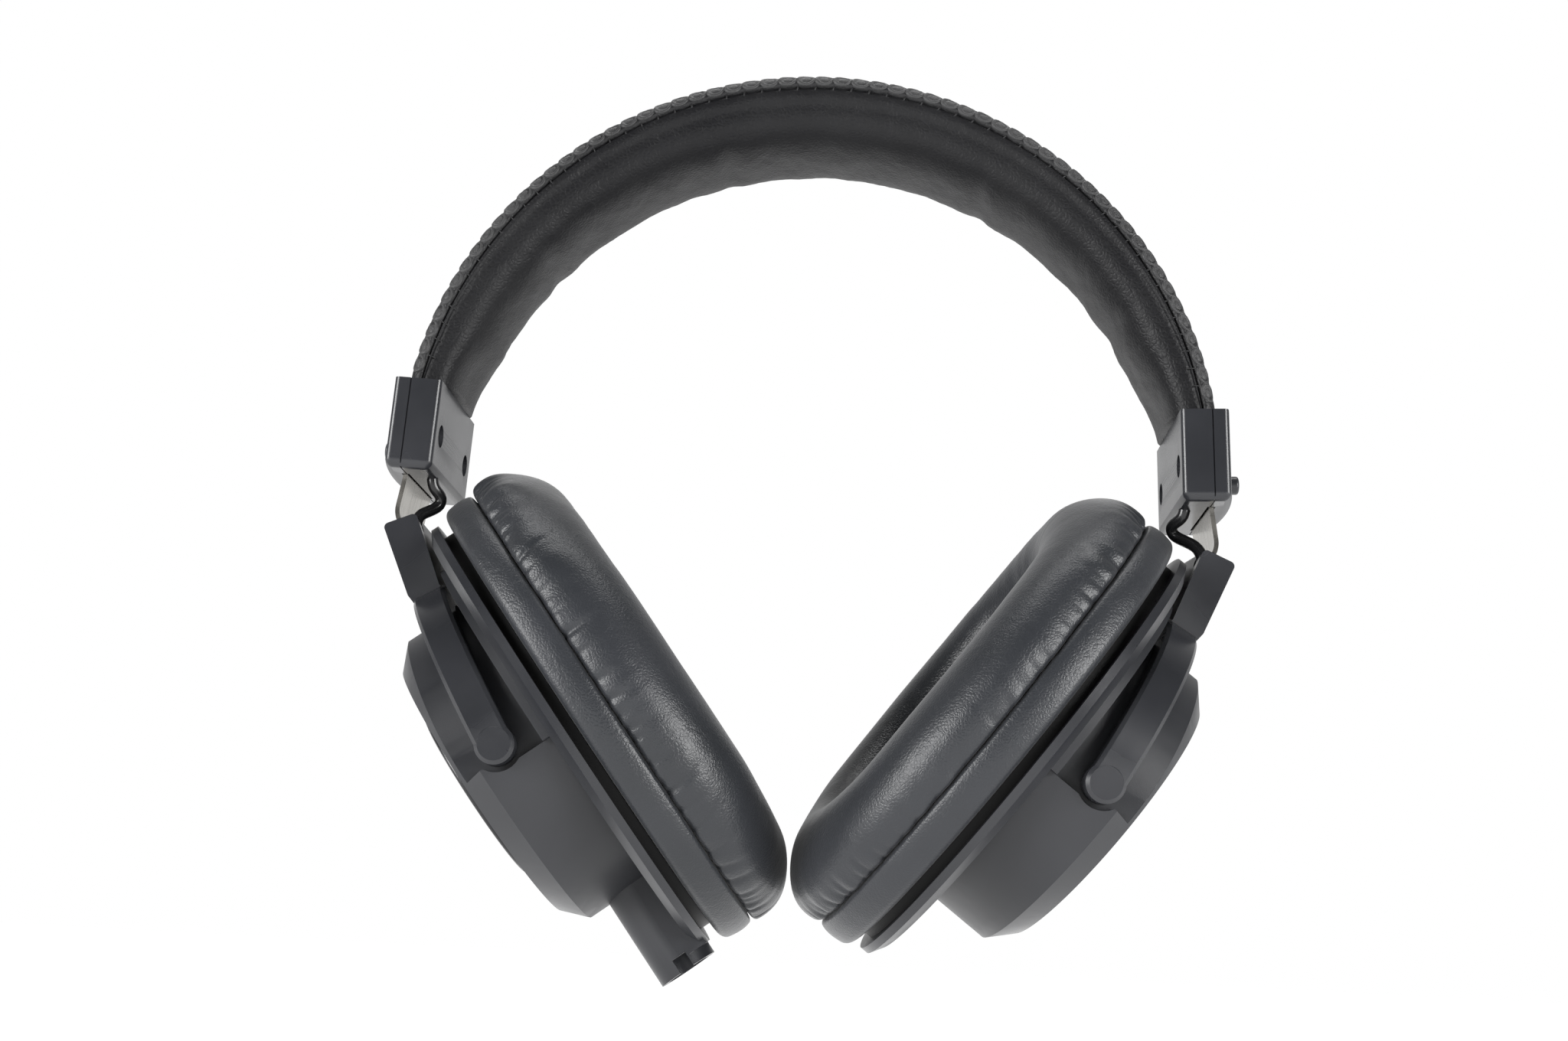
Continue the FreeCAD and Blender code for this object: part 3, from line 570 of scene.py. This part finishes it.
def band_folds(angle, y):
    """How far the pad's underside is drawn in by its folds, each with a swell on both sides."""
    fold_r = 70
    depth = 0.0
    for at, amount, width in BAND_FOLDS:
        skew = 1.2 * math.sin(at * 2.1) * y / BAND_HALF
        d = (angle - math.radians(at)) * fold_r + skew
        swells = 0.45 * bell(d - 1.9 * width, 1.4 * width), 0.3 * bell(d + 2.1 * width, 1.5 * width)
        depth += amount * (bell(d, width) - swells[0] - swells[1])
    return depth


def band_pad_section(edge):
    """The pad's outline, its underside at a radius, as (radius, depth, share of the folds, softness)."""
    side_steps, round_steps = 12, 52
    top, start = SEAM_R + 0.1, edge + BAND_PAD_CORNER
    tuck_r, tuck_y = SEAM_R + 1.4, BAND_HALF - 1.2
    flank = []
    for k in range(side_steps):
        t = k / side_steps
        y = -BAND_HALF + 1.1 * (1 - fade(t, 0, 0.13)) - 0.5 * math.sin(math.pi * t) + 0.25 * t
        flank.append((top + (start - top) * t, y, 0.0, t))
    points = list(flank)
    for k in range(round_steps + 1):
        a = math.pi * k / round_steps
        y = -(BAND_HALF - 0.25) * math.copysign(abs(math.cos(a)) ** BAND_PAD_FULLNESS, math.cos(a))
        lift = max(0.0, math.sin(a))
        points.append((start - BAND_PAD_DEPTH * lift ** BAND_PAD_FULLNESS, y, lift ** 2, 1))
    points += [(r, -y, fold, soft) for r, y, fold, soft in reversed(flank)]
    return points + [(tuck_r, tuck_y, 0, 0), (tuck_r, -tuck_y, 0, 0)]


def headband_pad():
    """The soft inner pad: full faces, a round lower edge and folds across the underside."""
    length_steps = 520
    fold_share, end_rise, lump_size, fine_size = 0.4, 2.3, 0.22, 0.10
    verts = []
    for i in range(length_steps + 1):
        u = 2 * i / length_steps - 1
        middle = u * end_angle(BAND_PAD_MIDDLE_R)
        side_on, along = BAND_PAD_DROP * math.sin(middle), BAND_PAD_DROP * math.cos(middle)
        edge = math.sqrt(BAND_PAD_R ** 2 - side_on ** 2) - along
        ends = 1 - fade(abs(u), 0.94, 1.0)
        section = band_pad_section(edge)
        for r, y, fold, soft in section:
            angle = u * end_angle(max(60.0, r))
            folds = fold_share * band_folds(angle, y) * fold * ends
            dent = folds + end_rise * fade(abs(u), 0.86, 0.985) * fold
            lump = lump_size * noise.noise(Vector((angle * 16, y * 0.16, 7.7))) * soft
            fine = fine_size * noise.noise(Vector((angle * 60, y * 0.5, 1.7))) * fold
            bulge = math.copysign(lump, y) * 0.5 * (1 - fold)
            verts.append(band_point(r + dent - (lump + fine) * ends, y - bulge, angle))
    obj = strip_object("headband_pad_leather", verts, len(section), length_steps)
    paint(obj, "pad_leatherette", "band_pad_leatherette")
    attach(obj, "headband")
    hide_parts("headband_pad_skin", "headband_foam")


# ---------------------------------------------------------------- ear pads

def oval_point(half, angle):
    """The point of an oval of half sizes (tall, deep) at an angle from its top, as (y, s), and its normal."""
    y, s = half[1] * math.sin(angle), half[0] * math.cos(angle)
    normal = Vector((math.sin(angle) / half[1], math.cos(angle) / half[0])).normalized()
    return Vector((y, s)), normal


# The ear pad's crown, from its seam over the front to the bottom of the opening, as (inset, n)
CROWN = [(0.22, -10.2), (-0.02, -11.1), (-0.2, -12.4), (-0.25, -13.6), (-0.15, -15.0), (0.15, -16.4),
         (0.8, -18.0), (1.9, -19.8), (3.4, -21.5), (5.3, -23.0), (7.5, -24.2), (10.0, -24.9), (12.4, -25.0),
         (14.6, -24.6), (16.8, -23.7), (18.6, -22.3), (20.0, -20.4), (20.9, -18.0), (21.3, -15.0),
         (21.4, -11.5), (21.3, -8.0), (21.2, -5.0), (21.2, -3.2)]


def pad_section():
    """The pad's outline from its back, round the skirt and crown, to the bottom of the opening, as
    (inset, n, zone)."""
    back_round, back_depth, skirt_bow = 2.4, 1.9, 0.25
    rows = [(4.5, PAD_BACK, "skirt"), (2.6, PAD_BACK - 0.02, "skirt")]
    for k in range(1, 6):
        a = math.radians(18 * k)
        n = PAD_BACK - back_depth * (1 - math.cos(a))
        rows.append((back_round - back_round * math.sin(a), n, "skirt"))
    skirt_top, skirt_length = PAD_BACK - back_depth, SEAM_N + 0.8 - PAD_BACK + back_depth
    for k in range(1, 5):
        t = k / 5
        rows.append((-skirt_bow * math.sin(math.pi * t), skirt_top + skirt_length * t, "skirt"))
    rows += [(0.10, SEAM_N + 0.75, "skirt"), (0.35, SEAM_N + 0.42, "skirt"), (0.85, SEAM_N + 0.2, "seam"),
             (1.7, SEAM_N + 0.08, "seam"), (2.3, SEAM_N, "seam"), (1.6, SEAM_N - 0.08, "crown"),
             (0.9, SEAM_N - 0.22, "crown"), (0.5, SEAM_N - 0.5, "crown")]
    return rows + [(inset, n, "crown") for inset, n in CROWN]


def pleat_row(seed, calm):
    """Narrow creases round a pad's seam: (angle, depth, width, length, slant), at uneven steps of about
    2 to 6 mm. calm fades them along the middle of the pad."""
    rows, at, i = [], 0.0, 0
    while at < 2 * math.pi - 0.04:
        a, b, c = (noise.noise(Vector((i * 1.73 + k * 9.1, seed, 0.37))) + 0.5 for k in range(3))
        clear = calm * fade(math.cos(at), -0.75, -0.3) * (1 - fade(math.cos(at), 0.72, 0.95))
        depth, width, length = (0.45 + 0.55 * b) * (1 - clear), 0.40 + 0.28 * c, 2.4 + 4.6 * a * b
        rows.append((at, depth, width, length, 0.5 * (c - 0.5)))
        at += (2.0 + 4.4 * a) / PAD_MEAN
        i += 1
    return rows


def pleats(angle, away, side):
    """How far the narrow creases draw the crown in, in millimetres."""
    total = 0.0
    for at, depth, width, length, slant in PLEATS[side]:
        d = ((angle - at + math.pi) % (2 * math.pi) - math.pi) * PAD_MEAN + slant * away
        if abs(d) < 3 * width and away < 3 * length:
            total -= depth * bell(d, width) * bell(away, length)
    return total


GATHER_SEED = {"left": 11.0, "right": 23.0}
PLEATS = {"left": pleat_row(3.1, 0.2), "right": pleat_row(8.7, 0.75)}


def gathers(angle, n, side):
    """The puckers of the crown beside its seam, in millimetres, strongest there and towards the pad's top."""
    away = SEAM_N - n
    if away < 0.05:
        return 0.0
    c = Vector((math.sin(angle), math.cos(angle), GATHER_SEED[side]))
    top = fade(math.cos(angle), 0.0, 0.9)
    strong = 0.7 + 0.4 * top + 0.6 * max(0, noise.noise(c * 2.3))
    # four sizes of pucker, each noise pattern dying away with the distance from the seam
    tight = noise.noise(c * 26) * math.exp(-away / 1.8)
    fine = noise.noise(c * 15) * math.exp(-away / 3.4)
    mid = ridge(noise.noise(c * 7.0 + Vector((0, 0, 5)))) * math.exp(-away / 7.0) * fade(away, -0.5, 1.5)
    broad = noise.noise(c * 4.0 + Vector((0, 0, 9))) * bell(away - 6, 7.0)
    puckers = 0.5 * tight + 0.8 * fine + (0.45 + 0.9 * top) * mid + (0.5 + 1.4 * top) * broad
    return pleats(angle, away, side) + strong * puckers


def ridge(x):
    """Turns smooth noise into rounded swells with narrow creases between them."""
    return 0.55 - 1.44 * math.sqrt(x * x + 0.01)


def ear_pad(side):
    """The oval leatherette cushion with its smooth skirt, gathered seam and full crown."""
    base, out, depth, up = cup_frame(side)
    section = pad_section()
    count, verts = 500, []
    for i in range(count):
        angle = 2 * math.pi * i / count
        edge, normal = oval_point(PAD_HALF, angle)
        hole = oval_point(PAD_OPEN, angle)[0]
        slump = NEAR_SLUMP[side] * fade(-math.sin(angle), 0.0, 0.85)
        for inset, n, zone in section:
            t = min(1.0, max(0.0, inset / PAD_WALL))
            flat = edge.lerp(hole, t) if inset > 0 else edge - normal * inset
            pucker = gathers(angle, n, side) if zone != "skirt" else 0.0
            way = Vector((math.sin(angle) * 2.4, math.cos(angle) * 2.4, n * 0.07 + SIDES[side] * 4))
            drift = noise.noise(way)
            swell = 0.45 * drift * (1.0 if zone == "crown" else 0.35)
            lean = fade(-n, 12, 24)
            if zone == "crown":
                n = SEAM_N + (n - SEAM_N) * (1 - slump)
            flat = flat + normal * (swell + pucker) * (1 - lean * 0.7)
            deep = n + (0.6 * pucker + 0.3 * swell) * lean
            verts.append(base + (out * deep + depth * flat.x + up * flat.y) * MM)
    rows = len(section)
    verts = pressed(verts, count, rows, side)
    obj = new_object(side + "_ear_pad", verts, grid_faces(count, rows, close_rows=True, close_cols=True))
    outward(obj)
    sub = obj.modifiers.new("smooth", "SUBSURF")
    sub.levels = 1
    sub.render_levels = 1
    paint(obj, "pad_leatherette")
    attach(obj, side + "_cup")
    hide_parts(side + "_ear_pad_cover", side + "_ear_pad_foam")


def nearest_to_middle(p, side):
    """How near a point of the cup comes to the middle plane at any swivel of its yoke, in millimetres."""
    hinge = JOINTS[side + "_swivel"]
    axis, pivot = Vector(hinge["axis"]), Vector(hinge["pos_m"])
    low, high = (math.radians(v) for v in hinge["range_deg"])
    arm = p - pivot
    along = axis * axis.dot(arm)
    across, turned = SIDES[side] * (arm - along).x, SIDES[side] * axis.cross(arm).x
    base = SIDES[side] * (pivot + along).x
    lowest = math.atan2(turned, across) + math.pi
    lowest = (lowest + math.pi) % (2 * math.pi) - math.pi
    turns = [low, high] + ([lowest] if low < lowest < high else [])
    return min(base + across * math.cos(t) + turned * math.sin(t) for t in turns) / MM


def keep_to_side(p, side):
    """Presses the pad flat where it would pass the middle plane at any swivel of its yoke."""
    room = nearest_to_middle(p, side) - PAD_GAP
    kept = 0.5 * (room + math.sqrt(room * room + PRESS_SOFT))
    return p + Vector((SIDES[side] * (kept - room) * MM, 0, 0))


def pressed(verts, count, rows, side):
    """The pad's points with the pressed area flattened and its surroundings relaxed, as a cushion bulges."""
    near = {}
    for i, p in enumerate(verts):
        room = nearest_to_middle(p, side)
        if room < PRESS_REACH[1]:
            near[i] = 0.5 * (1 - fade(room, *PRESS_REACH))
    verts = [keep_to_side(p, side) if i in near else p for i, p in enumerate(verts)]
    for _ in range(PRESS_PASSES):
        moved = {}
        for i, share in near.items():
            a, r = divmod(i, rows)
            around = [verts[((a + 1) % count) * rows + r], verts[((a - 1) % count) * rows + r],
                      verts[a * rows + (r + 1) % rows], verts[a * rows + (r - 1) % rows]]
            moved[i] = verts[i].lerp((around[0] + around[1] + around[2] + around[3]) / 4, share)
        for i, p in moved.items():
            verts[i] = p
    for i in near:
        room = nearest_to_middle(verts[i], side) - PAD_GAP
        if room < 0:
            verts[i] = verts[i] - Vector((SIDES[side] * room * MM, 0, 0))
    return verts


def dust_cloth(side):
    """The cloth at the bottom of the ear opening, slightly domed by the grille behind it."""
    base, out, depth, up = cup_frame(side)
    rings, count, lap = 16, 96, 0.6
    half = (PAD_OPEN[0] + lap, PAD_OPEN[1] + lap)
    verts = [base + out * ((CLOTH_N - CLOTH_DOME) * MM)]  # the middle
    for r in range(1, rings + 1):
        t = r / rings
        for i in range(count):
            edge = oval_point(half, 2 * math.pi * i / count)[0]
            flat = edge * t
            rise = CLOTH_DOME * (1 - t * t) + 0.12 * noise.noise(Vector((flat.x * 0.2, flat.y * 0.2, 2)))
            verts.append(base + (out * (CLOTH_N - rise) + depth * flat.x + up * flat.y) * MM)
    faces = [(0, 1 + i, 1 + (i + 1) % count) for i in range(count)]
    for r in range(rings - 1):
        for i in range(count):
            a, b = 1 + r * count, 1 + (r + 1) * count
            j = (i + 1) % count
            faces.append((a + i, b + i, b + j, a + j))
    obj = new_object(side + "_speaker_cloth", verts, faces)
    paint(obj, "cloth")
    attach(obj, side + "_cup")
    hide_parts(side + "_dust_cloth")


# ---------------------------------------------------------------- leads

# Control points of the slack leads, as (across, depth, up) about the arc's centre. Inside the block a lead
# runs at a radius of 77.3 mm, 9.75 mm off the middle
LEAD_X = math.sqrt(77.3 ** 2 - 9.75 ** 2)
LEAD_R = 1.2
LEADS = {
    "left": [(LEAD_X, -8.0, 2.0), (76.6, -8.0, -4.0), (76.6, -8.0, -7.0), (74.6, -6.4, -8.2),
             (74.9, -5.8, -10.4), (77.0, -7.7, -12.0), (78.97, -9.52, -13.4), (78.66, -9.94, -16.5)],
    "right": [(LEAD_X, -8.0, 2.0), (76.6, -8.0, -4.0), (76.6, -8.0, -7.0), (73.9, -5.4, -7.7),
              (74.7, -3.8, -9.9), (77.7, -6.7, -11.45), (80.06, -9.84, -13.86), (79.79, -10.14, -16.98)],
}


def lead(side):
    """The slack lead, cut in two at a height: an upper stretch by the block and a lower one by the yoke."""
    sign = SIDES[side]
    exit_z, split_z, entry_z = -5.4, -9.2, -13.4
    points = [from_arc(sign * x, y, rise) for x, y, rise in LEADS[side]]
    tube = swept_tube(side + "_lead_run", points, LEAD_R * MM, sides=20, per_span=16)
    split = from_arc(0, 0, split_z).z
    parts = {}
    for name, above in (("upper", True), ("lower", False)):
        bm = bmesh.new()
        bm.from_mesh(tube.data)
        bmesh.ops.bisect_plane(bm, geom=bm.verts[:] + bm.edges[:] + bm.faces[:], plane_co=(0, 0, split),
                               plane_no=(0, 0, 1), clear_inner=above, clear_outer=not above)
        mesh = bpy.data.meshes.new(side + "_lead_" + name)
        bm.to_mesh(mesh)
        bm.free()
        parts[name] = link_mesh(side + "_lead_" + name, mesh)
        paint(parts[name], "lead_jacket")
    bpy.data.objects.remove(tube)
    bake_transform(parts["upper"])
    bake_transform(parts["lower"])
    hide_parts(side + "_lead")
    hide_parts(side + "_lead")


# ---------------------------------------------------------------- scene

# The camera, fitted to the photograph: its place in metres and its turn in radians
CAMERA_PLACE = (0.01684, -0.4387, -0.1651)
CAMERA_PITCH, CAMERA_YAW, CAMERA_ROLL = -0.19989, 0.048586, 0.051598
CAMERA_LENS, CAMERA_SENSOR = 49.81, 36.0


def camera():
    """The photograph's view: right of the middle, level with the cups' lower ends, looking slightly up."""
    data = bpy.data.cameras.new("camera")
    data.lens = CAMERA_LENS
    data.sensor_width = CAMERA_SENSOR
    data.clip_start = 0.02
    data.clip_end = 50
    obj = bpy.data.objects.new("camera", data)
    level = Matrix(((1, 0, 0), (0, 0, -1), (0, 1, 0)))
    axes = (Matrix.Rotation(CAMERA_ROLL, 3, "Z") @ Matrix.Rotation(CAMERA_PITCH, 3, "X")
            @ Matrix.Rotation(CAMERA_YAW, 3, "Y") @ level)
    turn = Matrix((axes[0], -axes[1], -axes[2])).transposed()
    obj.matrix_world = Matrix.Translation(CAMERA_PLACE) @ turn.to_4x4()
    bpy.context.scene.collection.objects.link(obj)
    bpy.context.scene.camera = obj


def area_light(name, place, target, size, power):
    """A white rectangular light that points at a target."""
    data = bpy.data.lights.new(name, "AREA")
    data.shape = "RECTANGLE"
    data.size, data.size_y = size
    data.energy = power
    obj = bpy.data.objects.new(name, data)
    obj.location = place
    obj.rotation_mode = "QUATERNION"
    obj.rotation_quaternion = (Vector(target) - Vector(place)).to_track_quat("-Z", "Y")
    bpy.context.scene.collection.objects.link(obj)


def studio_world():
    """White where the camera sees it; for the light, white behind the object and nearly dark in front."""
    world = bpy.data.worlds.new("studio")
    world.use_nodes = True
    tree = world.node_tree
    seen = tree.nodes["Background"]
    seen.inputs["Color"].default_value = (1.0, 1.0, 1.0, 1)
    seen.inputs["Strength"].default_value = 1.0
    dim = node(tree, "ShaderNodeBackground")
    where = node(tree, "ShaderNodeTexCoord")
    way = node(tree, "ShaderNodeSeparateXYZ")
    tree.links.new(where.outputs["Generated"], way.inputs["Vector"])
    behind = ramp(tree, way.outputs["Y"], 0.10, 1.0, 0.03, 1.0)
    tree.links.new(behind, dim.inputs["Strength"])
    ray = node(tree, "ShaderNodeLightPath")
    choose = node(tree, "ShaderNodeMixShader")
    tree.links.new(ray.outputs["Is Camera Ray"], choose.inputs["Fac"])
    tree.links.new(dim.outputs["Background"], choose.inputs[1])
    tree.links.new(seen.outputs["Background"], choose.inputs[2])
    tree.links.new(choose.outputs["Shader"], tree.nodes["World Output"].inputs["Surface"])
    return world


def studio():
    """A white backdrop all round, a white floor that glows so that it has no edge, and three soft boxes."""
    scene = bpy.context.scene
    scene.world = studio_world()
    drop, size = CAD_BOX[0].z - 0.012, 12.0
    corners = [(-size, -size, drop), (size, -size, drop), (size, size, drop), (-size, size, drop)]
    floor = new_object("floor", corners, [(0, 1, 2, 3)])
    mat, tree, shader = material("floor", (0.35, 0.35, 0.35), 0.9, specular=0.1)
    tint(tree, shader, noise_tex(tree, coords(tree), scale=3.0), (0.34, 0.34, 0.34), (0.36, 0.36, 0.36))
    shader.inputs["Emission Color"].default_value = (1, 1, 1, 1)
    shader.inputs["Emission Strength"].default_value = 0.98
    floor.data.materials.append(mat)
    area_light("key_light", place=(-1.15, -0.85, 0.12), target=(-0.03, 0, -0.1), size=(0.8, 0.6), power=21)
    area_light("fill_light", place=(1.15, -0.85, 0.10), target=(0.03, 0, -0.1), size=(0.8, 0.6), power=19)
    area_light("top_light", place=(0.0, 0.1, 1.1), target=(0, 0, 0), size=(1.2, 0.5), power=7)
    scene.view_settings.view_transform = "Standard"


paint_cad_nodes()
headband_cover()
headband_links()
headband_stitches()
headband_pad()
for side in SIDES:
    ear_pad(side)
    dust_cloth(side)
    lead(side)
camera()
studio()
